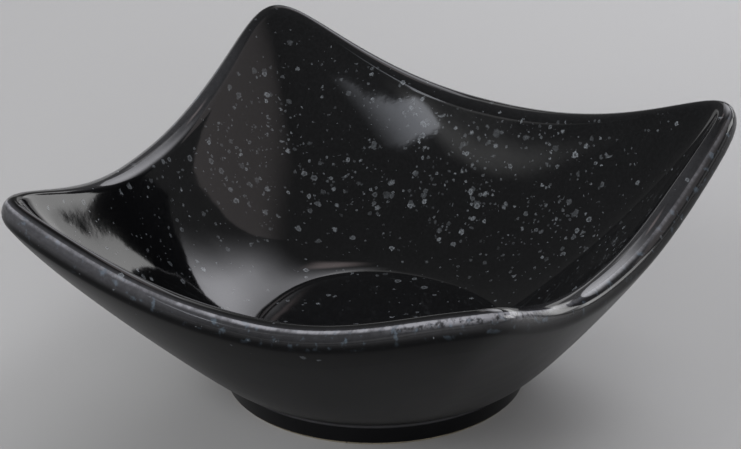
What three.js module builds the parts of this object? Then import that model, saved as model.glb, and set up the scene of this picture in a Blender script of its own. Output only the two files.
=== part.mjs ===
// A small square dish of black-glazed stoneware. A round flat floor runs out into four flared walls,
// the square rim sweeps up to four corners, and a foot ring is luted on underneath. The clay and each
// coat of glaze are solids of their own that lie face to face. Millimetres, +Z up; the dish stands on
// z = 0 with its centre on the Z axis, and its four sides face +X, +Y, -X and -Y.
import * as THREE from 'three';

// The rim in plan. Squareness is the power of the rounded square: 2 is a circle, more is squarer.
const HALF_SIDE = 50;
const SIDE_HOLLOW = 0.3;
const RIM_SQUARENESS = 12.8;
const MOUTH_SQUARENESS = 16.1;
const LIP_WIDTH_AT_SIDE = 5.7;
const LIP_WIDTH_AT_CORNER = 3.6;
const LIP_CROWN = 2.65;

// The height of the rim's top. A hand has pressed each side and corner a little differently, and a
// lift is what one stands above the plain height. Sides go round from +X and corners from the one
// between +X and +Y. Fullness lifts the rim line halfway from a side's middle to the corner after it.
const SIDE_HEIGHT = 33.3;
const CORNER_HEIGHT = 44.5;
const SIDE_LIFTS = [1.1, -0.1, -0.4, -0.6];
const CORNER_LIFTS = [0.2, -0.5, 0.1, 0.3];
const RIM_FULLNESS = [0, 0.65, 0.75, 0.7];
const RIM_CLIMB_POWER = 1.14;

// The outer face of the wall, from the belly over the foot up to the lip. Slopes are in degrees from
// level, and an arm is how far that slope is held, as a share of the wall's own reach.
const BELLY_RADIUS = 28.95;
const BELLY_HEIGHT = 5.4;
const BELLY_SLOPE = 19.5;
const BELLY_ARM = 0.12;
const OUTER_LIP_SLOPE = 56.2;
const OUTER_LIP_ARM = 0.215;

// The inner face of the wall, from the edge of the floor up to the lip.
const INNER_LIP_SLOPE = 58;
const INNER_LIP_ARM = 0.22;
const FLOOR_COVE_SLOPE = 4;
const FLOOR_COVE_ARM = 10.5;

// The floor, a round well with a soft step around it that is drawn out slightly towards the corners.
const FLOOR_RADIUS = 20.9;
const FLOOR_CORNER_PULL = 0.6;
const FLOOR_EDGE_HEIGHT = 10;
const FLOOR_STEP_WIDTH = 1.2;
const FLOOR_STEP_DEPTH = 0.4;

// The foot ring, whose side leans out to a shoulder under the belly.
const FOOT_RADIUS = 26.1;
const FOOT_WIDTH = 3.4;
const FOOT_EDGE_RADIUS = 0.4;
const SHOULDER_RADIUS = 27.6;
const SHOULDER_HEIGHT = 4.3;
const FOOT_GROOVE_RADIUS = 27.4;
const UNDERSIDE_HEIGHT = 5;
const UNDERSIDE_RADIUS = 28.5;
const WELL_LEAN = 1.1;

// The glaze: how thick it lies, how far the bowl's coat laps down outside the lip, and the height to
// which the foot is wiped bare.
const GLAZE_THICKNESS = 0.35;
const GLAZE_LAP = 4;
const BARE_FOOT_HEIGHT = 0.6;

// How finely the surfaces are divided: stations round the dish, drawn together towards the corners
// by the gather power, and steps up each part of the profile.
const STATIONS_PER_HALF_SIDE = 8;
const CORNER_GATHER = 1.8;
const OUTER_WALL_STEPS = 7;
const LAP_STEPS = 2;
const LIP_STEPS = 7;
const INNER_WALL_STEPS = 8;
const EDGE_STEPS = 2;

const { degToRad, lerp, clamp } = THREE.MathUtils;

// A station is one upright half-plane through the Z axis: its angle, the side that it crosses, the
// nearer corner and the rim's fullness there.
function makeStations() {
  const stations = [];
  for (let side = 0; side < 4; side += 1) {
    for (let step = -STATIONS_PER_HALF_SIDE; step < STATIONS_PER_HALF_SIDE; step += 1) {
      const fromCorner = 1 - Math.abs(step) / STATIONS_PER_HALF_SIDE;
      const turn = Math.sign(step) * (1 - fromCorner ** CORNER_GATHER) * Math.PI / 4;
      stations.push({
        angle: side * Math.PI / 2 + turn,
        side,
        corner: step < 0 ? (side + 3) % 4 : side,
        fullness: step > 0 ? RIM_FULLNESS[side] : 0,
      });
    }
  }
  return stations;
}

// How far a rounded square of half side 1 reaches at an angle.
function squareReach(angle, squareness) {
  const across = Math.abs(Math.cos(angle));
  const along = Math.abs(Math.sin(angle));
  return (across ** squareness + along ** squareness) ** (-1 / squareness);
}

// The lip's section at a station: its middle, half width and cornerness, which runs from 0 at the
// middle of a side to 1 at a corner.
function lipAt({ angle, side, corner, fullness }) {
  const reach = squareReach(angle, RIM_SQUARENESS);
  const cornerReach = squareReach(Math.PI / 4, RIM_SQUARENESS);
  const cornerness = clamp((reach - 1) / (cornerReach - 1), 0, 1);
  const halfSide = HALF_SIDE - SIDE_HOLLOW * (1 - cornerness);
  const lipWidth = lerp(LIP_WIDTH_AT_SIDE, LIP_WIDTH_AT_CORNER, cornerness);
  const outer = halfSide * reach;
  const inner = (halfSide - lipWidth) * squareReach(angle, MOUTH_SQUARENESS);
  const sideTop = SIDE_HEIGHT + SIDE_LIFTS[side];
  const cornerTop = CORNER_HEIGHT + CORNER_LIFTS[corner];
  const climb = lerp(sideTop, cornerTop, cornerness ** RIM_CLIMB_POWER);
  const top = climb + fullness * 4 * cornerness * (1 - cornerness);
  return {
    middle: new THREE.Vector2((outer + inner) / 2, top - LIP_CROWN),
    halfWidth: (outer - inner) / 2,
    cornerness,
  };
}

// The angle on the lip's ellipse, from level, at which a wall of this slope runs into it.
function tangentAngle(halfWidth, slope) {
  return Math.atan(LIP_CROWN / halfWidth / Math.tan(degToRad(slope)));
}

function along(slope, length) {
  return new THREE.Vector2(Math.cos(degToRad(slope)), Math.sin(degToRad(slope))).multiplyScalar(length);
}

// A curve from a low point to a high one that leaves and arrives at the given slopes.
function sweep(low, lowSlope, lowArm, high, highSlope, highArm) {
  const lowHandle = low.clone().add(along(lowSlope, lowArm));
  const highHandle = high.clone().sub(along(highSlope, highArm));
  return new THREE.CubicBezierCurve(low, lowHandle, highHandle, high);
}

function pointsAlong(curve, from, to, steps) {
  return Array.from({ length: steps }, (_, step) => curve.getPoint(lerp(from, to, step / steps)));
}

// The glazed outline at a station, as points of radius and height: up the foot's side, out under the
// belly, up the wall, over the lip, down into the bowl and across to the floor's edge. The named rows
// say where in that list the foot ends and where the bowl's glaze begins.
function glazedProfile(station) {
  const { middle, halfWidth } = lipAt(station);
  const outerTurn = -tangentAngle(halfWidth, OUTER_LIP_SLOPE);
  const innerTurn = Math.PI - tangentAngle(halfWidth, INNER_LIP_SLOPE);
  const lip = new THREE.EllipseCurve(middle.x, middle.y, halfWidth, LIP_CROWN, outerTurn, innerTurn);

  const belly = new THREE.Vector2(BELLY_RADIUS, BELLY_HEIGHT);
  const outerReach = belly.distanceTo(lip.getPoint(0));
  const outerWall = sweep(belly, BELLY_SLOPE, BELLY_ARM * outerReach,
    lip.getPoint(0), OUTER_LIP_SLOPE, OUTER_LIP_ARM * outerReach);
  const lapStart = 1 - GLAZE_LAP / (3 * OUTER_LIP_ARM * outerReach);

  const edgeRadius = FLOOR_RADIUS - FLOOR_CORNER_PULL * Math.cos(4 * station.angle);
  const floorEdge = new THREE.Vector2(edgeRadius, FLOOR_EDGE_HEIGHT);
  const innerReach = floorEdge.distanceTo(lip.getPoint(1));
  const innerWall = sweep(floorEdge, FLOOR_COVE_SLOPE, FLOOR_COVE_ARM,
    lip.getPoint(1), INNER_LIP_SLOPE, INNER_LIP_ARM * innerReach);

  return [
    new THREE.Vector2(FOOT_RADIUS + GLAZE_THICKNESS, BARE_FOOT_HEIGHT),
    new THREE.Vector2(SHOULDER_RADIUS, SHOULDER_HEIGHT),
    new THREE.Vector2(FOOT_GROOVE_RADIUS, UNDERSIDE_HEIGHT),
    new THREE.Vector2(UNDERSIDE_RADIUS, UNDERSIDE_HEIGHT),
    ...pointsAlong(outerWall, 0, lapStart, OUTER_WALL_STEPS),
    ...pointsAlong(outerWall, lapStart, 1, LAP_STEPS),
    ...pointsAlong(lip, 0, 1, LIP_STEPS),
    ...pointsAlong(innerWall, 1, 0, INNER_WALL_STEPS),
    floorEdge,
    new THREE.Vector2(edgeRadius - FLOOR_STEP_WIDTH / 2, FLOOR_EDGE_HEIGHT - FLOOR_STEP_DEPTH / 3),
    new THREE.Vector2(edgeRadius - FLOOR_STEP_WIDTH, FLOOR_EDGE_HEIGHT - FLOOR_STEP_DEPTH),
  ];
}
const GROOVE_ROW = 2;
const BELLY_ROW = 4;
const LAP_ROW = BELLY_ROW + OUTER_WALL_STEPS;

// The glazed outline inside the foot ring, from the edge of the well's ceiling down its side.
function wellProfile() {
  const bareInnerRadius = FOOT_RADIUS - FOOT_WIDTH - GLAZE_THICKNESS;
  return [
    new THREE.Vector2(bareInnerRadius - WELL_LEAN, UNDERSIDE_HEIGHT),
    new THREE.Vector2(bareInnerRadius, BARE_FOOT_HEIGHT),
  ];
}

// The same outline under the glaze: every stretch is moved back by the glaze's thickness, away from
// the air, which lies to the right of the way that the outline runs. The ends run level or upright.
function underGlaze(profile, startNormal, endNormal) {
  const normals = profile.slice(1).map((point, index) => {
    const way = point.clone().sub(profile[index]).normalize();
    return new THREE.Vector2(way.y, -way.x);
  });
  return profile.map((point, index) => {
    const before = index > 0 ? normals[index - 1] : startNormal;
    const after = index < normals.length ? normals[index] : endNormal;
    const mitre = before.clone().add(after).divideScalar(1 + before.dot(after));
    return point.clone().addScaledVector(mitre, -GLAZE_THICKNESS);
  });
}

// Rows of points right round the dish, one row for each point of the profile.
function rowsFrom(stations, profiles) {
  return profiles[0].map((_, row) => stations.map(({ angle }, index) => {
    const { x: radius, y: height } = profiles[index][row];
    return new THREE.Vector3(radius * Math.cos(angle), radius * Math.sin(angle), height);
  }));
}

// A round row at one radius and height.
function circle(stations, radius, height) {
  const point = new THREE.Vector2(radius, height);
  return rowsFrom(stations, stations.map(() => [point]))[0];
}

function facing(triangles, turned) {
  return turned ? triangles.map(([a, b, c]) => [a, c, b]) : triangles;
}

// The band between two rows. It faces right of the way from the first row to the second; turned, it
// faces left but is divided along the same diagonals, so that two solids can share it.
function band(first, second, turned = false) {
  const triangles = first.flatMap((point, index) => {
    const next = (index + 1) % first.length;
    return [[point, first[next], second[next]], [point, second[next], second[index]]];
  });
  return facing(triangles, turned);
}

function bands(rows, turned = false) {
  return rows.slice(1).flatMap((row, index) => band(rows[index], row, turned));
}

// A level disc from a row to its middle, facing up, or down when turned.
function disc(row, turned = false) {
  const middle = new THREE.Vector3(0, 0, row[0].z);
  return facing(row.map((point, index) => [point, row[(index + 1) % row.length], middle]), turned);
}

function solid(name, triangles, look) {
  const geometry = new THREE.BufferGeometry().setFromPoints(triangles.flat());
  geometry.computeVertexNormals();
  const mesh = new THREE.Mesh(geometry, new THREE.MeshStandardMaterial(look));
  mesh.name = name;
  return mesh;
}

const CLAY = { color: 0x8b8373, roughness: 0.9, metalness: 0 };
const SPECKLED_BLACK = { color: 0x121316, roughness: 0.08, metalness: 0 };
const SATIN_BLACK = { color: 0x1b1c1f, roughness: 0.3, metalness: 0 };

const stations = makeStations();
const UP = new THREE.Vector2(0, 1);
const DOWN = new THREE.Vector2(0, -1);
const OUT = new THREE.Vector2(1, 0);
const IN = new THREE.Vector2(-1, 0);

const glazedProfiles = stations.map(glazedProfile);
const glazed = rowsFrom(stations, glazedProfiles);
const bare = rowsFrom(stations, glazedProfiles.map((profile) => underGlaze(profile, OUT, UP)));
const glazedWell = rowsFrom(stations, stations.map(wellProfile));
const bareWell = rowsFrom(stations, stations.map(() => underGlaze(wellProfile(), DOWN, IN)));

// The clay of floor and walls, pressed in one piece: flat underneath, where the foot is luted on.
function dishBody() {
  const rows = bare.slice(GROOVE_ROW);
  return solid('dish_body', [...disc(rows[0], true), ...bands(rows), ...disc(rows.at(-1))], CLAY);
}

// The foot ring, with its foot wiped bare and its two lower edges rounded.
function footRing() {
  const rounded = (flatRadius, overhang) => Array.from({ length: EDGE_STEPS + 1 }, (_, step) => {
    const turn = Math.PI / 2 * step / EDGE_STEPS;
    const height = FOOT_EDGE_RADIUS * (1 - Math.cos(turn));
    return circle(stations, flatRadius + overhang * Math.sin(turn), height);
  });
  const rows = [
    ...rounded(FOOT_RADIUS - FOOT_EDGE_RADIUS, FOOT_EDGE_RADIUS),
    ...bare.slice(0, GROOVE_ROW + 1),
    ...bareWell,
    ...rounded(FOOT_RADIUS - FOOT_WIDTH + FOOT_EDGE_RADIUS, -FOOT_EDGE_RADIUS).reverse(),
  ];
  return solid('foot_ring', [...bands(rows), ...band(rows.at(-1), rows[0])], CLAY);
}

// A coat of glaze between its own surface and the clay's. It ends in an edge at its last row.
function coat(glazedRows, bareRows) {
  return [...bands(glazedRows), ...bands(bareRows, true)];
}

// The speckled glaze that lines the bowl, covers the lip and laps down over the satin coat's top.
function insideGlaze() {
  const glazedRows = glazed.slice(LAP_ROW);
  const bareRows = bare.slice(LAP_ROW);
  return solid('inside_glaze', [
    ...band(glazedRows[0], bareRows[0], true),
    ...coat(glazedRows, bareRows),
    ...disc(glazedRows.at(-1)),
    ...disc(bareRows.at(-1), true),
  ], SPECKLED_BLACK);
}

// The satin glaze on the outside of the walls, under the belly and down the side of the foot.
function outsideGlaze() {
  const glazedRows = glazed.slice(0, LAP_ROW + 1);
  const bareRows = bare.slice(0, LAP_ROW + 1);
  return solid('outside_glaze', [
    ...band(glazedRows[0], bareRows[0], true),
    ...coat(glazedRows, bareRows),
    ...band(glazedRows.at(-1), bareRows.at(-1)),
  ], SATIN_BLACK);
}

// The glaze in the well of the foot: its ceiling and the ring's inner side.
function footWellGlaze() {
  return solid('foot_well_glaze', [
    ...disc(glazedWell[0], true),
    ...coat(glazedWell, bareWell),
    ...disc(bareWell[0]),
    ...band(glazedWell.at(-1), bareWell.at(-1)),
  ], SATIN_BLACK);
}

const dish = new THREE.Group();
dish.name = 'square_dish';
dish.add(dishBody(), footRing(), insideGlaze(), outsideGlaze(), footWellGlaze());

export default dish;
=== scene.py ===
import math

import bpy
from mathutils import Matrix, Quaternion, Vector


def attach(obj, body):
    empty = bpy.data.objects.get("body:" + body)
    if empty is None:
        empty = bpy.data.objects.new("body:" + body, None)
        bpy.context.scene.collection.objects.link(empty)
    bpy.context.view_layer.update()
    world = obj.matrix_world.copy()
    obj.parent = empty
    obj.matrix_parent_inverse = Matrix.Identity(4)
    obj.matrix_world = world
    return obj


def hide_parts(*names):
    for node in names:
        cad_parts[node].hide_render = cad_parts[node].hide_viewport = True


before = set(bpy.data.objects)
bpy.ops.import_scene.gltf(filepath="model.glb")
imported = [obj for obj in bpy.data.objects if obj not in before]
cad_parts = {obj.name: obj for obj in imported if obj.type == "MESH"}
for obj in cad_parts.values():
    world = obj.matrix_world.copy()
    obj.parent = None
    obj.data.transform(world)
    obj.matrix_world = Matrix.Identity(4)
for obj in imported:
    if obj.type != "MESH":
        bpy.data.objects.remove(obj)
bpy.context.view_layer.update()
MM = 0.001


# The body: grey-beige stoneware clay, pressed over a mould into a round floor and four flared walls,
# then fired. The glazes cover all of it, so what was packed stays, in the bare clay's finish.
class Wire:
    """An output of a node tree. Sums written with it in Python add that tree's own Math nodes."""

    def __init__(self, tree, output=None):
        self.tree = tree
        self.output = output

    def node(self, kind, settings=None, inputs=None, output=0):
        """Adds any node: its settings first, then the values or wires of its sockets."""
        made = self.tree.nodes.new(kind)
        for name, value in (settings or {}).items():
            setattr(made, name, value)
        for name, value in (inputs or {}).items():
            for one in value if isinstance(value, list) else [value]:
                if isinstance(one, Wire):
                    self.tree.links.new(one.output, made.inputs[name])
                else:
                    made.inputs[name].default_value = one
        return Wire(self.tree, made.outputs[output]) if made.outputs else None

    def beside(self, name):
        """Another output of the same node."""
        return Wire(self.tree, self.output.node.outputs[name])

    def math(self, operation, *others):
        return self.node("ShaderNodeMath", {"operation": operation}, dict(enumerate([self, *others])))

    def swapped(self, operation, other):
        return self.node("ShaderNodeMath", {"operation": operation}, {0: other, 1: self})

    def __add__(self, other):
        return self.math("ADD", other)

    def __sub__(self, other):
        return self.math("SUBTRACT", other)

    def __rsub__(self, other):
        return self.swapped("SUBTRACT", other)

    def __mul__(self, other):
        return self.math("MULTIPLY", other)

    def __truediv__(self, other):
        return self.math("DIVIDE", other)

    def __rtruediv__(self, other):
        return self.swapped("DIVIDE", other)

    def __pow__(self, other):
        return self.math("POWER", other)

    def __rpow__(self, other):
        return self.swapped("POWER", other)

    def __neg__(self):
        return self * -1

    __radd__ = __add__
    __rmul__ = __mul__


def new_material(name):
    """A material with an empty tree, and the wire that its nodes start from."""
    material = bpy.data.materials.new(name)
    material.use_nodes = True
    material.node_tree.nodes.clear()
    return material, Wire(material.node_tree)


def finish_material(start, shader):
    start.node("ShaderNodeOutputMaterial", inputs={"Surface": shader})


def smooth_between(value, low, high):
    """0 below low and 1 above high, with a soft turn between."""
    return value.node("ShaderNodeMapRange", {"interpolation_type": "SMOOTHSTEP"}, {
        "Value": value, "From Min": low, "From Max": high})


def mix_colours(share, first, second):
    """The first colour where share is 0 and the second where it is 1."""
    inputs = {"Factor": share, 6: first, 7: second}
    return share.node("ShaderNodeMix", {"data_type": "RGBA"}, inputs, output=2)


def noise(place, size_mm, detail=2.0, roughness=0.5):
    """Soft noise from 0 to 1 whose lumps are about this size."""
    inputs = {"Vector": place, "Scale": 1 / (size_mm * MM), "Detail": detail, "Roughness": roughness}
    return place.node("ShaderNodeTexNoise", inputs=inputs)


CLAY_PALE = (0.30, 0.265, 0.20, 1)
CLAY_DARK = (0.19, 0.165, 0.125, 1)
IRON_SPECK = (0.06, 0.045, 0.035, 1)
CLAY_ROUGHNESS = 0.75
SAND_SIZE = 0.35
SAND_DEPTH = 0.1
PATCH_SIZE = 6
SPECK_SIZE = 0.55


def bare_clay():
    """Fired stoneware: sandy, with iron specks and a skin that is a little uneven."""
    material, start = new_material("bare_stoneware")
    place = start.node("ShaderNodeTexCoord", output="Object")
    sand = noise(place, SAND_SIZE, detail=4)
    patches = noise(place, PATCH_SIZE)
    tone = smooth_between(sand * 0.5 + patches * 0.5, 0.38, 0.62)
    specks = smooth_between(noise(place, SPECK_SIZE, detail=1), 0.71, 0.76)
    colour = mix_colours(specks, mix_colours(tone, CLAY_DARK, CLAY_PALE), IRON_SPECK)
    grain = start.node("ShaderNodeBump", inputs={
        "Height": sand, "Strength": 0.35, "Distance": SAND_DEPTH * MM})
    shader = start.node("ShaderNodeBsdfPrincipled", inputs={
        "Base Color": colour, "Roughness": CLAY_ROUGHNESS + 0.15 * sand, "Normal": grain})
    finish_material(start, shader)
    return material


CLAY = bare_clay()


def refinish(name, material):
    """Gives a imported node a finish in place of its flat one."""
    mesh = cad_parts[name].data
    mesh.materials.clear()
    mesh.materials.append(material)


refinish("dish_body", CLAY)


# The foot: a ring of the same clay, luted under the floor and trimmed on the wheel. Its bottom is
# wiped bare, so a thin pale line of clay shows all round where the dish stands.
FOOT = {"Foot radius": 26.1, "Foot width": 3.4, "Foot height": 5.35, "Edge radius": 0.4,
        "Side lean": 1.1, "Well lean": 1.0}
FOOT_COLUMNS = 200
SHARP_DEGREES = 50


def new_form(name, sizes):
    """An empty geometry tree that has the sizes as named inputs, and the wires of those inputs."""
    tree = bpy.data.node_groups.new(name, "GeometryNodeTree")
    tree.interface.new_socket("Geometry", in_out="OUTPUT", socket_type="NodeSocketGeometry")
    for size in sizes:
        tree.interface.new_socket(size, in_out="INPUT", socket_type="NodeSocketFloat")
    entry = tree.nodes.new("NodeGroupInput")
    return Wire(tree), {size: Wire(tree, entry.outputs[size]) for size in sizes}


def grid_place(start):
    """How far a grid's point lies around the dish and along the outline, both from 0 to 1."""
    position = start.node("GeometryNodeInputPosition")
    apart = start.node("ShaderNodeSeparateXYZ", inputs={0: position})
    return apart + 0.5, apart.beside("Y") + 0.5


def strip(start, columns, rows, angle, radius, height, run=None):
    """One strip of surface, as a grid bent round the Z axis. Sizes are in millimetres. Run is how far
    along the outline a point lies, and the finish reads it."""
    grid = start.node("GeometryNodeMeshGrid", inputs={
        "Size X": 1.0, "Size Y": 1.0, "Vertices X": columns + 1, "Vertices Y": rows + 1})
    if run is not None:
        grid = start.node("GeometryNodeStoreNamedAttribute", {"data_type": "FLOAT", "domain": "POINT"},
                          {"Geometry": grid, "Name": "run", "Value": run})
    point = start.node("ShaderNodeCombineXYZ", inputs={
        0: radius * angle.math("COSINE") * MM, 1: radius * angle.math("SINE") * MM, 2: height * MM})
    return start.node("GeometryNodeSetPosition", inputs={"Geometry": grid, "Position": point})


def seam_up(start, strips):
    """Joins strips at the edges that they share, and each to itself all round."""
    joined = start.node("GeometryNodeJoinGeometry", inputs={0: strips})
    merged = start.node("GeometryNodeMergeByDistance", inputs={
        "Geometry": joined, "Distance": 0.002 * MM})
    return start.node("GeometryNodeSetShadeSmooth", inputs={"Geometry": merged})


def finish_form(start, shape, material):
    real = start.node("GeometryNodeRealizeInstances", inputs={"Geometry": shape})
    done = start.node("GeometryNodeSetMaterial", inputs={"Geometry": real, "Material": material})
    start.node("NodeGroupOutput", inputs={0: done})


def make_piece(name, start, sizes, skin_mm=0):
    """Makes the form at these sizes into a plain mesh. A skin is given that thickness, inwards."""
    piece = bpy.data.objects.new(name, bpy.data.meshes.new(name))
    bpy.context.scene.collection.objects.link(piece)
    form = piece.modifiers.new("form", "NODES")
    form.node_group = start.tree
    for socket in start.tree.interface.items_tree:
        if socket.in_out == "INPUT":
            form[socket.identifier] = sizes[socket.name]
    if skin_mm:
        skin = piece.modifiers.new("skin", "SOLIDIFY")
        skin.thickness = skin_mm * MM
        skin.offset = -1
    evaluated = piece.evaluated_get(bpy.context.evaluated_depsgraph_get())
    mesh = bpy.data.meshes.new_from_object(evaluated)
    mesh.set_sharp_from_angle(angle=math.radians(SHARP_DEGREES))
    piece.modifiers.clear()
    piece.data = mesh
    mesh.name = name
    return piece


def quarter_round(along, centre_radius, centre_height, size, from_degrees):
    """A rounded edge, as radius and height on a quarter circle."""
    turn = along * (math.pi / 2) + math.radians(from_degrees)
    return centre_radius + size * turn.math("COSINE"), centre_height + size * turn.math("SINE")


def straight(along, first, second):
    """Radius and height on the straight line between two points."""
    return tuple(a + (b - a) * along for a, b in zip(first, second))


def foot_form():
    """The ring's section, in stretches of so many rows, bent all the way round."""
    start, size = new_form("foot_ring", FOOT)
    around, along = grid_place(start)
    angle = around * math.tau
    edge = size["Edge radius"]
    outer = size["Foot radius"]
    inner = outer - size["Foot width"]
    outer_top = (outer + size["Side lean"], size["Foot height"])
    inner_top = (inner - size["Well lean"], size["Foot height"])
    outlines = [
        (6, quarter_round(along, inner + edge, edge, edge, 180)),
        (6, straight(along, (inner + edge, 0), (outer - edge, 0))),
        (6, quarter_round(along, outer - edge, edge, edge, 270)),
        (10, straight(along, (outer, edge), outer_top)),
        (4, straight(along, outer_top, inner_top)),
        (10, straight(along, inner_top, (inner, edge))),
    ]
    strips = [strip(start, FOOT_COLUMNS, rows, angle, *outline) for rows, outline in outlines]
    finish_form(start, seam_up(start, strips), CLAY)
    return start


foot_clay = make_piece("trimmed_foot", foot_form(), FOOT)
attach(foot_clay, "root")
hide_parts("foot_ring")


# The outside glaze: plain black, a little softer in its shine, dipped over the foot and the walls up
# to where the bowl's own glaze laps over it. It stops 0.6 mm short of the table.
RIM = {"Half side": 50.0, "Side hollow": 0.3, "Rim squareness": 12.8, "Mouth squareness": 16.1,
       "Lip width at side": 5.7, "Lip width at corner": 3.6, "Lip crown": 2.65, "Climb power": 1.14,
       "Corner gather": 1.4,
       "Side top 0": 34.4, "Side top 1": 33.2, "Side top 2": 32.9, "Side top 3": 32.7,
       "Corner top 0": 44.7, "Corner top 1": 44.0, "Corner top 2": 44.6, "Corner top 3": 44.8,
       "Fullness 0": 0.0, "Fullness 1": 0.65, "Fullness 2": 0.75, "Fullness 3": 0.7}
OUTER_WALL = {"Belly radius": 28.95, "Belly height": 5.4, "Belly slope": 19.5, "Belly arm": 0.12,
              "Outer lip slope": 56.2, "Outer lip arm": 0.215, "Glaze lap": 4.0}
GLAZE_THICKNESS = 0.35
FOOT_SIDE = {"Glazed foot radius": FOOT["Foot radius"] + GLAZE_THICKNESS, "Bare height": 0.6,
             "Straight share": 0.84, "Shoulder radius": 27.6, "Shoulder height": 4.3,
             "Groove radius": 27.4, "Groove round": 0.35, "Underside radius": 28.5,
             "Underside height": 5.0, "Underside round": 0.4, "Belly lead": 0.45, "Belly drop": 0.14}
OUTSIDE = {**RIM, **OUTER_WALL, **FOOT_SIDE}
COLUMNS = 360
RIPPLE_SIZE = 11
RIPPLE_HEIGHT = 0.05


def rounded_square(angle, squareness):
    """How far a rounded square of half side 1 reaches at an angle."""
    across = angle.math("COSINE").math("ABSOLUTE")
    along = angle.math("SINE").math("ABSOLUTE")
    return (across ** squareness + along ** squareness) ** (-1 / squareness)


def blend(share, first, second):
    return first + (second - first) * share


def pick(start, number, values):
    """The value with this number, of four."""
    chooser = start.node("GeometryNodeIndexSwitch", {"data_type": "FLOAT"})
    switch = chooser.output.node
    while len(switch.index_switch_items) < len(values):
        switch.index_switch_items.new()
    start.tree.links.new(number.output, switch.inputs["Index"])
    for place, value in enumerate(values):
        start.tree.links.new(value.output, switch.inputs[place + 1])
    return chooser


def station(start, size, around):
    """A column's angle, and the half ellipse of the lip's section there. Each quarter of the way round
    has a corner in its middle and ends at the middles of two sides."""
    eighth = around * 8
    corner = (eighth / 2).math("FLOOR")
    past_corner = eighth - corner * 2 - 1
    gathered = past_corner.math("SIGN") * past_corner.math("ABSOLUTE") ** size["Corner gather"]
    angle = (corner * 2 + 1 + gathered) * (math.pi / 4)
    side = ((eighth + 1) / 2).math("FLOOR").math("MODULO", 4)

    reach = rounded_square(angle, size["Rim squareness"])
    furthest = 2 ** (0.5 - 1 / size["Rim squareness"])
    cornerness = start.node("ShaderNodeClamp", inputs={"Value": (reach - 1) / (furthest - 1)})
    half_side = size["Half side"] - size["Side hollow"] * (1 - cornerness)
    width = blend(cornerness, size["Lip width at side"], size["Lip width at corner"])
    outer = half_side * reach
    inner = (half_side - width) * rounded_square(angle, size["Mouth squareness"])
    corner = corner.math("MODULO", 4)
    side_top = pick(start, side, [size[f"Side top {number}"] for number in range(4)])
    corner_top = pick(start, corner, [size[f"Corner top {number}"] for number in range(4)])
    past_middle = 1 - eighth.math("FLOOR").math("MODULO", 2)
    fuller = past_middle * pick(start, side, [size[f"Fullness {number}"] for number in range(4)])
    top = blend(cornerness ** size["Climb power"], side_top, corner_top)
    top = top + fuller * 4 * cornerness * (1 - cornerness)
    lip = {"middle": (outer + inner) / 2, "half width": (outer - inner) / 2,
           "height": top - size["Lip crown"], "crown": size["Lip crown"]}
    return angle, lip


def meeting_turn(lip, slope):
    """The angle on the lip's ellipse, from level, at which a wall of this slope runs into it."""
    steepness = (slope * (math.pi / 180)).math("TANGENT")
    return (lip["crown"] / lip["half width"] / steepness).math("ARCTANGENT")


def on_lip(lip, turn):
    return (lip["middle"] + lip["half width"] * turn.math("COSINE"),
            lip["height"] + lip["crown"] * turn.math("SINE"))


def distance(first, second):
    return ((second[0] - first[0]) ** 2 + (second[1] - first[1]) ** 2) ** 0.5


def moved(point, slope, length):
    """The point this far from another, along a slope in degrees from level."""
    turn = slope * (math.pi / 180)
    return point[0] + length * turn.math("COSINE"), point[1] + length * turn.math("SINE")


def curve(along, *handles):
    """Radius and height on a curve with four handles."""
    back = 1 - along
    shares = back ** 3, back ** 2 * along * 3, along ** 2 * back * 3, along ** 3
    return tuple(sum((share * handle[axis] for share, handle in zip(shares[1:], handles[1:])),
                     shares[0] * handles[0][axis]) for axis in (0, 1))


def outer_wall(size, lip):
    """The handles of the wall's outside from belly to lip, and its share that lies below the lap."""
    belly = (size["Belly radius"], size["Belly height"])
    meeting = on_lip(lip, -meeting_turn(lip, size["Outer lip slope"]))
    reach = distance(belly, meeting)
    lip_arm = size["Outer lip arm"] * reach
    handles = (belly, moved(belly, size["Belly slope"], size["Belly arm"] * reach),
               moved(meeting, size["Outer lip slope"], -lip_arm), meeting)
    lap_start = 1 - size["Glaze lap"] / (3 * lip_arm)
    return handles, lap_start


def ripple(start, shape):
    """Pushes the surface in and out a little, as a hand and a kiln leave it."""
    place = start.node("GeometryNodeInputPosition")
    normal = start.node("GeometryNodeInputNormal")
    push = (noise(place, RIPPLE_SIZE, detail=1) - 0.5) * (RIPPLE_HEIGHT * MM)
    offset = start.node("ShaderNodeVectorMath", {"operation": "SCALE"}, {0: normal, "Scale": push})
    return start.node("GeometryNodeSetPosition", inputs={"Geometry": shape, "Offset": offset})


GLAZE_BLACK = (0.0026, 0.0027, 0.0031, 1)
GLAZE_CLOUD = (0.006, 0.006, 0.0068, 1)
# The shoulder grey and its band are a painted highlight along the foot's shoulder.
SHOULDER_HIGHLIGHT_GREY = (0.06, 0.06, 0.065, 1)
SHOULDER_FROM = 25
SHOULDER_BAND = 0.4
SATIN_ROUGHNESS = 0.3
SATIN_IOR = 1.2


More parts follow.
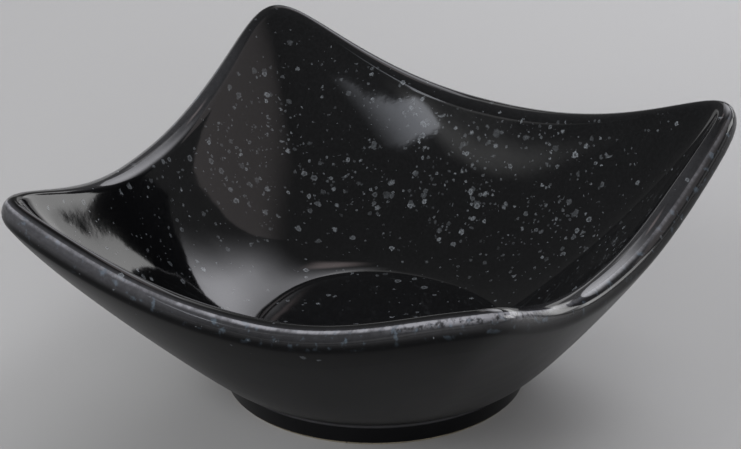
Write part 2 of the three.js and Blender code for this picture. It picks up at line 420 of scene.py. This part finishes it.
def satin_black():
    """Plain black glaze with a soft shine, faintly uneven, with a painted highlight: a grey line along
    the foot's shoulder.
    """
    material, start = new_material("satin_black_glaze")
    place = start.node("ShaderNodeTexCoord", output="Object")
    cloud = noise(place, 5)
    apart = start.node("ShaderNodeSeparateXYZ", inputs={0: place})
    from_axis = (apart ** 2 + apart.beside("Y") ** 2) ** 0.5
    from_shoulder = (apart.beside("Z") - FOOT_SIDE["Shoulder height"] * MM).math("ABSOLUTE")
    # Painted highlight: a grey line where the foot's shoulder turns, outside the well.
    shoulder_highlight = 1 - smooth_between(from_shoulder, 0.05 * MM, SHOULDER_BAND * MM)
    outside = smooth_between(from_axis, SHOULDER_FROM * MM, (SHOULDER_FROM + 1) * MM)
    shoulder_highlight = shoulder_highlight * outside * (0.5 + cloud)
    colour = mix_colours(cloud, GLAZE_BLACK, GLAZE_CLOUD)
    colour = mix_colours(shoulder_highlight * 0.7, colour, SHOULDER_HIGHLIGHT_GREY)
    shader = start.node("ShaderNodeBsdfPrincipled", inputs={
        "Base Color": colour, "Roughness": SATIN_ROUGHNESS - 0.03 + 0.06 * cloud, "IOR": SATIN_IOR})
    finish_material(start, shader)
    return material


SATIN = satin_black()


def outside_form():
    """Up the foot's side, over its shoulder into the groove, and out and up the wall to the lap."""
    start, size = new_form("outside_of_walls", OUTSIDE)
    around, along = grid_place(start)
    angle, lip = station(start, size, around)
    foot = (size["Glazed foot radius"], size["Bare height"])
    shoulder = (size["Shoulder radius"], size["Shoulder height"])
    below_shoulder = straight(size["Straight share"], foot, shoulder)
    groove = (size["Groove radius"], size["Underside height"])
    below_groove = (groove[0], groove[1] - size["Groove round"])
    past_groove = (groove[0] + size["Groove round"], groove[1])
    underside = (size["Underside radius"], size["Underside height"])
    before_turn = (underside[0] - size["Underside round"], underside[1])
    belly = (size["Belly radius"], size["Belly height"])
    before_belly = (belly[0] - size["Belly lead"], belly[1] - size["Belly drop"])
    handles, lap_start = outer_wall(size, lip)
    outlines = [
        (10, straight(along, foot, below_shoulder)),
        (6, curve(along, below_shoulder, shoulder, shoulder, below_groove)),
        (4, curve(along, below_groove, groove, groove, past_groove)),
        (2, straight(along, past_groove, before_turn)),
        (6, curve(along, before_turn, underside, before_belly, belly)),
        (50, curve(along * lap_start, *handles)),
    ]
    strips = [strip(start, COLUMNS, rows, angle, *outline) for rows, outline in outlines]
    finish_form(start, ripple(start, seam_up(start, strips)), SATIN)
    return start


outside_coat = make_piece("outside_coat", outside_form(), OUTSIDE, GLAZE_THICKNESS)
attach(outside_coat, "root")
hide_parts("outside_glaze")


# The glaze in the foot's well: the same satin black, poured in and out again, so that it covers the
# underside of the floor and the ring's inner side down to the wiped foot.
WELL = {"Well radius": FOOT["Foot radius"] - FOOT["Foot width"] - GLAZE_THICKNESS,
        "Bare height": FOOT_SIDE["Bare height"], "Well lean": 1.1, "Straight share": 0.8,
        "Ceiling height": 5.0, "Ceiling round": 1.0}


def well_form():
    """From the middle of the ceiling out to its rounded edge, and down the ring's inner side."""
    start, size = new_form("foot_well", WELL)
    around, along = grid_place(start)
    angle = around * math.tau
    mouth = (size["Well radius"], size["Bare height"])
    corner = (size["Well radius"] - size["Well lean"], size["Ceiling height"])
    above_mouth = straight(size["Straight share"], mouth, corner)
    on_ceiling = (corner[0] - size["Ceiling round"], corner[1])
    outlines = [
        (14, straight(along, (0, corner[1]), on_ceiling)),
        (8, curve(along, on_ceiling, corner, corner, above_mouth)),
        (8, straight(along, above_mouth, mouth)),
    ]
    strips = [strip(start, FOOT_COLUMNS, rows, angle, *outline) for rows, outline in outlines]
    finish_form(start, ripple(start, seam_up(start, strips)), SATIN)
    return start


well_coat = make_piece("foot_well_coat", well_form(), WELL, GLAZE_THICKNESS)
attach(well_coat, "root")
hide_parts("foot_well_glaze")


# The bowl's glaze: a deep glossy black, poured in so that it lines the floor and walls, rolls over
# the lip and laps down outside. Pale bluish crystals have grown in it in the kiln.
INNER_WALL = {"Inner lip slope": 58.0, "Inner lip arm": 0.22, "Cove slope": 4.0, "Cove arm": 10.5,
              "Floor radius": 20.9, "Floor corner pull": 0.6, "Floor edge height": 10.0,
              "Floor step width": 0.8, "Floor step depth": 0.05, "Floor dip": 0.35}
INSIDE = {**RIM, **OUTER_WALL, **INNER_WALL}
GLAZE_BLUE_BLACK = (0.0095, 0.0098, 0.0108, 1)
CRYSTAL = (0.29, 0.315, 0.345, 1)
# LIP_PALE is the lip's broken glaze and, along the -X lip and at the -X -Y corner, a painted highlight.
LIP_PALE = (0.36, 0.36, 0.395, 1)
LIP_BLUE = (0.2, 0.27, 0.345, 1)
GLOSS_ROUGHNESS = 0.045
GLOSS_IOR = 1.52
SWELL_DEPTH = 0.005
HUDDLE_SIZE = 3.2
DRIFT_SIZE = 9
LAYER_SHIFT = 0.37
# Each kind of crystal: the space it has, the share of spaces that hold one, its least and largest
# radius, how strong its colour is, how open its middle is, and how ragged its edge is.
CRYSTALS = [
    {"space": 2.9, "share": 0.3, "radius": (0.5, 0.95), "strength": 0.7, "hollow": 0.5,
     "ragged": 0.8},
    {"space": 1.8, "share": 0.42, "radius": (0.34, 0.72), "strength": 0.8, "hollow": 0.75,
     "ragged": 0.6},
    {"space": 0.95, "share": 0.4, "radius": (0.16, 0.34), "strength": 0.5, "hollow": 0.3,
     "ragged": 0.45},
]


def wobbled(place, size_mm, reach_mm):
    """The place, pushed about by soft noise, so that what is drawn on it gets a ragged outline."""
    push = noise(place, size_mm, detail=2).beside("Color")
    middle = place.node("ShaderNodeVectorMath", {"operation": "SUBTRACT"}, {0: push, 1: (0.5,) * 3})
    return place.node("ShaderNodeVectorMath", {"operation": "MULTIPLY_ADD"}, {
        0: middle, 1: (reach_mm * MM,) * 3, 2: place})


def crystals(place, crowd, kind, number):
    """Pale spots of one kind, from 0 to 1: some round and full, most ring-shaped and ragged."""
    aside = place.node("ShaderNodeVectorMath", {"operation": "ADD"}, {
        0: place, 1: (number * LAYER_SHIFT,) * 3})
    ragged_place = wobbled(aside, kind["ragged"] * 0.65, kind["ragged"])
    cells = place.node("ShaderNodeTexVoronoi", inputs={
        "Vector": ragged_place, "Scale": 1 / (kind["space"] * MM)})
    luck = place.node("ShaderNodeSeparateXYZ", inputs={0: cells.beside("Color")})
    least, largest = (radius / kind["space"] for radius in kind["radius"])
    radius = least + (largest - least) * luck.beside("Y") ** 2
    here = luck.math("LESS_THAN", crowd * kind["share"])
    spot = 1 - smooth_between(cells, radius * 0.7, radius)
    middle = 1 - smooth_between(cells, radius * 0.25, radius * 0.7)
    open_middle = 1 - middle * kind["hollow"] * smooth_between(luck.beside("Z"), 0.25, 0.45)
    brightness = 0.2 + 0.8 * luck.beside("Z") ** 1.6
    return spot * here * open_middle * brightness * kind["strength"]


def crowding(place, x, y, z, run, huddle):
    """How thickly crystals lie. They huddle, most of all on the +X wall, and are fewer on the floor,
    high in the corners, near the -Y wall and by the lip. Places and run are in millimetres."""
    drift = noise(place, DRIFT_SIZE, detail=1)
    crowd = 0.42 + 0.78 * smooth_between(x, 5, 30)
    crowd = crowd * (0.35 + 0.65 * smooth_between(z, 11, 22))
    crowd = crowd * (1 - 0.6 * smooth_between(z, 30, 38))
    crowd = crowd * (0.35 + 0.65 * smooth_between(y, -34, -12))
    crowd = crowd * smooth_between(drift * 0.35 + huddle * 0.65, 0.38, 0.62) * 2.9
    return crowd * (0.25 + 0.75 * smooth_between(run, 2.0, 6.0))


def lip_break_and_highlight(place, x, y, run):
    """Where the lip's glaze runs so scant that it breaks to a pale grey, and where blue blots lie in it.
    Laid into that pale grey is a painted highlight, along the lip's outer edge on the -X side and as a
    streak at the -X -Y corner."""
    off_middle = x.math("ABSOLUTE").math("MINIMUM", y.math("ABSOLUTE")) / RIM["Half side"]
    past = (run - 0.4 - 0.25 * off_middle) * -1
    mottle = noise(place, 1.1, detail=5, roughness=0.62)
    patchy = smooth_between(noise(place, 7, detail=2), 0.35, 0.65)
    near_side = smooth_between(x * -1, 20, 45)
    left_side = smooth_between(y, -5, 25)
    back_side = smooth_between(x, 28, 42)

    # Painted highlight: a pale band along the -X lip's outer edge, whose place follows the lip's slope
    # like a reflection.
    edge_highlight = smooth_between(past, 0.0, 0.2) * (1 - smooth_between(past, 0.35, 1.0))
    edge_highlight = edge_highlight * (1 - 0.55 * left_side) * (0.4 + 0.6 * patchy)
    edge_highlight = edge_highlight * (0.55 + 0.7 * smooth_between(mottle, 0.3, 0.7))
    faint = smooth_between(past, -1.0, 0.5) * (1 - smooth_between(past, 0.9, 3.4)) * (0.5 + mottle)
    edge = (edge_highlight * 1.3 + faint * (0.1 + 0.1 * left_side)) * (0.25 + 0.75 * near_side)
    film = 0.07 * (1 - smooth_between((run - 1.5).math("ABSOLUTE"), 1.0, 3.2)) * (0.5 + mottle)
    film = film * (1 - near_side) * (1 - 0.85 * back_side)
    # Painted highlight: a pale streak on the lip at the -X -Y corner.
    streak = smooth_between(past, 0.1, 0.5) * (1 - smooth_between(past, 0.9, 1.8))
    streak = streak * smooth_between((x + y) * -1, 74, 92) * smooth_between(mottle, 0.38, 0.58)

    blots = smooth_between(noise(place, 1.7, detail=3), 0.56, 0.7)
    blots = blots * smooth_between(past, -0.3, 0.4) * (1 - smooth_between(past, 1.2, 4.5))
    return edge + film + streak * 0.7, blots * 0.3


def speckled_black():
    """Glossy black with pale blue crystals and a faint mist, pale where the lip's glaze breaks, with a
    painted highlight along the near lip. It loses its shine down the outside."""
    material, start = new_material("speckled_black_glaze")
    place = start.node("ShaderNodeTexCoord", output="Object")
    apart = start.node("ShaderNodeSeparateXYZ", inputs={0: place})
    x, y, z = (apart.beside(axis) / MM for axis in "XYZ")
    run = start.node("ShaderNodeAttribute", {"attribute_name": "run"}).beside("Fac")
    huddle = noise(place, HUDDLE_SIZE, detail=1)

    crowd = crowding(place, x, y, z, run, huddle)
    large, middling, small = (
        crystals(place, crowd, kind, number) for number, kind in enumerate(CRYSTALS, 1))
    spots = large.math("MAXIMUM", middling).math("MAXIMUM", small)
    spots = spots * (0.55 + 0.9 * smooth_between(noise(place, 0.22, detail=1), 0.3, 0.7))
    mist = (0.6 + 0.6 * smooth_between(noise(place, 0.5, detail=3), 0.4, 0.7)) * (0.7 + 0.6 * huddle)
    mist = mist * smooth_between(x, -24, 2) * smooth_between(run, -1.0, 3.0)
    pale_break_and_highlight, blots = lip_break_and_highlight(place, x, y, run)
    colour = mix_colours(mist, GLAZE_BLACK, GLAZE_BLUE_BLACK)
    # The lip's pale grey: broken glaze, and a painted highlight along the near lip.
    colour = mix_colours(pale_break_and_highlight, colour, LIP_PALE)
    colour = mix_colours(blots, colour, LIP_BLUE)
    colour = mix_colours(spots, colour, CRYSTAL)

    swell = noise(place, 5.5, detail=1) * 1.6 + noise(place, 1.7, detail=2) * 0.55
    skin = start.node("ShaderNodeBump", inputs={
        "Height": swell, "Strength": 1.0, "Distance": SWELL_DEPTH * MM})
    glossy = start.node("ShaderNodeBsdfPrincipled", inputs={
        "Base Color": colour, "Roughness": GLOSS_ROUGHNESS + spots * 0.12, "IOR": GLOSS_IOR,
        "Normal": skin})
    satin = start.node("ShaderNodeBsdfPrincipled", inputs={
        "Base Color": colour, "Roughness": SATIN_ROUGHNESS, "IOR": SATIN_IOR, "Normal": skin})
    dulled = 1 - smooth_between(run, -3.5, -0.5)
    finish_material(start, start.node("ShaderNodeMixShader", inputs={0: dulled, 1: glossy, 2: satin}))
    return material


SPECKLED = speckled_black()


def inside_form():
    """Up the lap, over the lip, down the wall into the cove, and from the floor's edge to its middle."""
    start, size = new_form("inside_of_bowl", INSIDE)
    around, along = grid_place(start)
    angle, lip = station(start, size, around)
    lap_handles, lap_start = outer_wall(size, lip)
    outer_turn = -meeting_turn(lip, size["Outer lip slope"])
    inner_turn = math.pi - meeting_turn(lip, size["Inner lip slope"])
    half_lip = (lip["half width"] + lip["crown"]) * (math.pi / 4)

    edge_radius = size["Floor radius"] - size["Floor corner pull"] * (angle * 4).math("COSINE")
    edge = (edge_radius, size["Floor edge height"])
    meeting = on_lip(lip, inner_turn)
    reach = distance(edge, meeting)
    wall_handles = (
        meeting, moved(meeting, size["Inner lip slope"], -(size["Inner lip arm"] * reach)),
        moved(edge, size["Cove slope"], size["Cove arm"]), edge)

    step_end = edge[0] - size["Floor step width"]
    sunk = size["Floor step depth"] * smooth_between(along, 0.0, 1.0)
    step_point = (edge[0] - size["Floor step width"] * along, edge[1] - sunk)
    dipped = size["Floor step depth"] + size["Floor dip"] * (1 - (1 - along) ** 2)
    floor_point = (step_end * (1 - along), edge[1] - dipped)
    past_wall = half_lip + reach
    past_step = past_wall + size["Floor step width"]
    strips = [
        strip(start, COLUMNS, 6, angle, *curve(blend(along, lap_start, 1), *lap_handles),
              run=-half_lip - size["Glaze lap"] * (1 - along)),
        strip(start, COLUMNS, 28, angle, *on_lip(lip, blend(along, outer_turn, inner_turn)),
              run=half_lip * (along * 2 - 1)),
        strip(start, COLUMNS, 58, angle, *curve(along, *wall_handles), run=half_lip + reach * along),
        strip(start, COLUMNS, 8, angle, *step_point, run=past_wall + size["Floor step width"] * along),
        strip(start, COLUMNS, 8, angle, *floor_point, run=past_step + step_end * along),
    ]
    finish_form(start, ripple(start, seam_up(start, strips)), SPECKLED)
    return start


inside_coat = make_piece("bowl_coat", inside_form(), INSIDE, GLAZE_THICKNESS)
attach(inside_coat, "root")
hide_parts("inside_glaze")


# The table under the dish: a wide, matt, pale grey sheet, laid flat. It runs far past the picture's
# edges on every side.
TABLE_SIDE = 12.0
TABLE_GREY = (0.50, 0.50, 0.505, 1)
TABLE_ROUGHNESS = 0.7


def matt_grey():
    material, start = new_material("matt_grey_sheet")
    shader = start.node("ShaderNodeBsdfPrincipled", inputs={
        "Base Color": TABLE_GREY, "Roughness": TABLE_ROUGHNESS})
    finish_material(start, shader)
    return material


bpy.ops.mesh.primitive_plane_add(size=TABLE_SIDE, location=(0, 0, 0))
table = bpy.context.object
table.name = "table"
table.data.materials.append(matt_grey())


# The light: a dark room with soft boxes in it, as the glaze shows them. Across from the camera stand a
# large box with its spill and glow, a brown screen, and two low cards, one of them behind a black flag.
# To its left is a slim box with its spill. Four lamps that the glaze doesn't show light the table.
BOX_DISTANCE = 0.5
DISH_MIDDLE = Vector((0, 0, 0.02))


def towards(azimuth, elevation, far):
    """The place that lies this way from the dish's middle, in degrees, and this far off."""
    turn, tilt = math.radians(azimuth), math.radians(elevation)
    way = Vector((math.cos(tilt) * math.cos(turn), math.cos(tilt) * math.sin(turn), math.sin(tilt)))
    return DISH_MIDDLE + way * far


def stand(thing, place, roll=0):
    """Stands a lamp or card at a place with its front to the dish, turned about its own axis."""
    thing.location = place
    thing.rotation_mode = "QUATERNION"
    facing = (DISH_MIDDLE - place).to_track_quat("-Z", "Y")
    thing.rotation_quaternion = facing @ Quaternion((0, 0, 1), math.radians(roll))
    bpy.context.scene.collection.objects.link(thing)


def soft_box(name, place, width, height, radiance, colour=(1, 1, 1), roll=0, fades=None, hot=None):
    """A rectangular lamp. Its brightness fades out towards its left, right, bottom and top edges over
    these shares of its size, and falls off around a hot spot: its place (two), reach and drop."""
    lamp = bpy.data.lights.new(name, "AREA")
    lamp.shape = "RECTANGLE"
    lamp.size = width
    lamp.size_y = height
    lamp.color = colour
    lamp.energy = radiance * math.pi * width * height
    if fades:
        lamp.use_nodes = True
        lamp.node_tree.nodes.clear()
        start = Wire(lamp.node_tree)
        apart = start.node("ShaderNodeSeparateXYZ", inputs={
            0: start.node("ShaderNodeNewGeometry").beside("Parametric")})
        across, up = apart, apart.beside("Y")
        glow = 1
        for from_edge, fade in zip((across, 1 - across, up, 1 - up), fades):
            if fade:
                glow = smooth_between(from_edge, 0, fade) * glow
        if hot:
            away = ((across - hot[0]) ** 2 + (up - hot[1]) ** 2) ** 0.5
            glow = glow * (1 - smooth_between(away, 0, hot[2]) * hot[3])
        emission = start.node("ShaderNodeEmission", inputs={"Color": (1, 1, 1, 1), "Strength": glow})
        start.node("ShaderNodeOutputLight", inputs={"Surface": emission})
    box = bpy.data.objects.new(name, lamp)
    stand(box, place, roll)
    return box


soft_box("right_box", towards(-4.5, 40.5, BOX_DISTANCE), width=0.47, height=0.35, radiance=3.4,
         colour=(0.98, 0.98, 1.04), fades=(0.4, 0.06, 0.015, 0.5), hot=(0.41, 0.27, 0.6, 0.6))
soft_box("right_spill", towards(29.5, 34, 0.566), width=0.08, height=0.28, radiance=0.65,
         fades=(0.1, 0.6, 0.3, 0.3))
soft_box("top_glow", towards(15.4, 57.7, 0.537), width=0.18, height=0.11, radiance=1.2,
         colour=(1.12, 0.94, 0.94), fades=(0.45, 0.45, 0.4, 0.4))
soft_box("left_box", towards(156.5, 45.7, BOX_DISTANCE), width=0.17, height=0.032, radiance=2.9,
         colour=(0.94, 0.98, 1.08), roll=61, fades=(0.05, 0.9, 0.12, 0.12))
soft_box("left_spill", towards(143, 38.5, BOX_DISTANCE), width=0.2, height=0.06, radiance=0.6,
         fades=(0.6, 0.2, 0.5, 0.5))
soft_box("brown_screen", towards(-59.4, 37.2, 0.916), width=0.57, height=0.72, radiance=0.42,
         colour=(1.04, 0.93, 0.93), roll=13, fades=(0.7, 0.01, 0.02, 0.45))
soft_box("side_card", towards(-37.2, 9.5, BOX_DISTANCE), width=0.17, height=0.09, radiance=2.6,
         roll=-29, fades=(0, 0.2, 0, 0.25))
soft_box("low_card", towards(-10.3, 8.6, 0.62), width=0.35, height=0.125, radiance=1.65, roll=15.5,
         fades=(0.03, 0.2, 0.4, 0.02))
for name, azimuth, elevation, far, side, radiance in (
        ("back_lamp", 24, 28, 1.2, 0.6, 5.1), ("top_lamp", -30, 58, 0.8, 0.4, 2.3),
        ("left_lamp", 144, 28, 0.6, 0.4, 3.6), ("front_lamp", 216, 18, 0.6, 0.4, 2.4)):
    lamp = soft_box(name, towards(azimuth, elevation, far), side, side, radiance)
    lamp.visible_glossy = False


def black_card(name, place, width, height, roll=0):
    """A black flag that only the glaze sees."""
    mesh = bpy.data.meshes.new(name)
    across, up = width / 2, height / 2
    corners = [(-across, -up, 0), (across, -up, 0), (across, up, 0), (-across, up, 0)]
    mesh.from_pydata(corners, [], [(0, 1, 2, 3)])
    material, start = new_material(name)
    finish_material(start, start.node("ShaderNodeEmission", inputs={"Strength": 0.0}))
    mesh.materials.append(material)
    card = bpy.data.objects.new(name, mesh)
    stand(card, place, roll)
    card.visible_camera = card.visible_diffuse = card.visible_shadow = False


black_card("black_flag", towards(-19.3, 16.3, 0.545), width=0.23, height=0.089, roll=15.5)

# The room itself: dark, but brighter near the horizon, up to where a direction's Z is HORIZON_TOP.
ROOM_DARK = 0.11
HORIZON_GLOW = 0.6
HORIZON_TOP = 0.16
HORIZON_BLUR = 0.03
world = bpy.data.worlds.new("studio")
bpy.context.scene.world = world
world.use_nodes = True
world.node_tree.nodes.clear()
room = Wire(world.node_tree)
rise = room.node("ShaderNodeSeparateXYZ", inputs={0: room.node("ShaderNodeTexCoord")}).beside("Z")
above = smooth_between(rise, HORIZON_TOP - HORIZON_BLUR, HORIZON_TOP)
tone = HORIZON_GLOW + (ROOM_DARK - HORIZON_GLOW) * above
backdrop = room.node("ShaderNodeBackground", inputs={"Color": (1, 1, 1, 1), "Strength": tone})
room.node("ShaderNodeOutputWorld", inputs={"Surface": backdrop})
bpy.context.scene.view_settings.view_transform = "Standard"


# The camera: it stands over a metre off with a long lens, and looks down at the dish a little to one
# side of a corner. Its place, aim and roll make the outline match the photo's.
CAMERA_PLACE = Vector((-0.86167, -0.47607, 0.51081))
CAMERA_AIM = Vector((-0.00033, 0.00060, 0.03014))
CAMERA_ROLL = -0.417
LENS = 301.83
camera_data = bpy.data.cameras.new("camera")
camera_data.lens = LENS
camera_data.sensor_width = 36
camera = bpy.data.objects.new("camera", camera_data)
bpy.context.scene.collection.objects.link(camera)
camera.location = CAMERA_PLACE
camera.rotation_mode = "QUATERNION"
level = (CAMERA_AIM - CAMERA_PLACE).to_track_quat("-Z", "Y")
camera.rotation_quaternion = level @ Quaternion((0, 0, 1), math.radians(CAMERA_ROLL))
bpy.context.scene.camera = camera
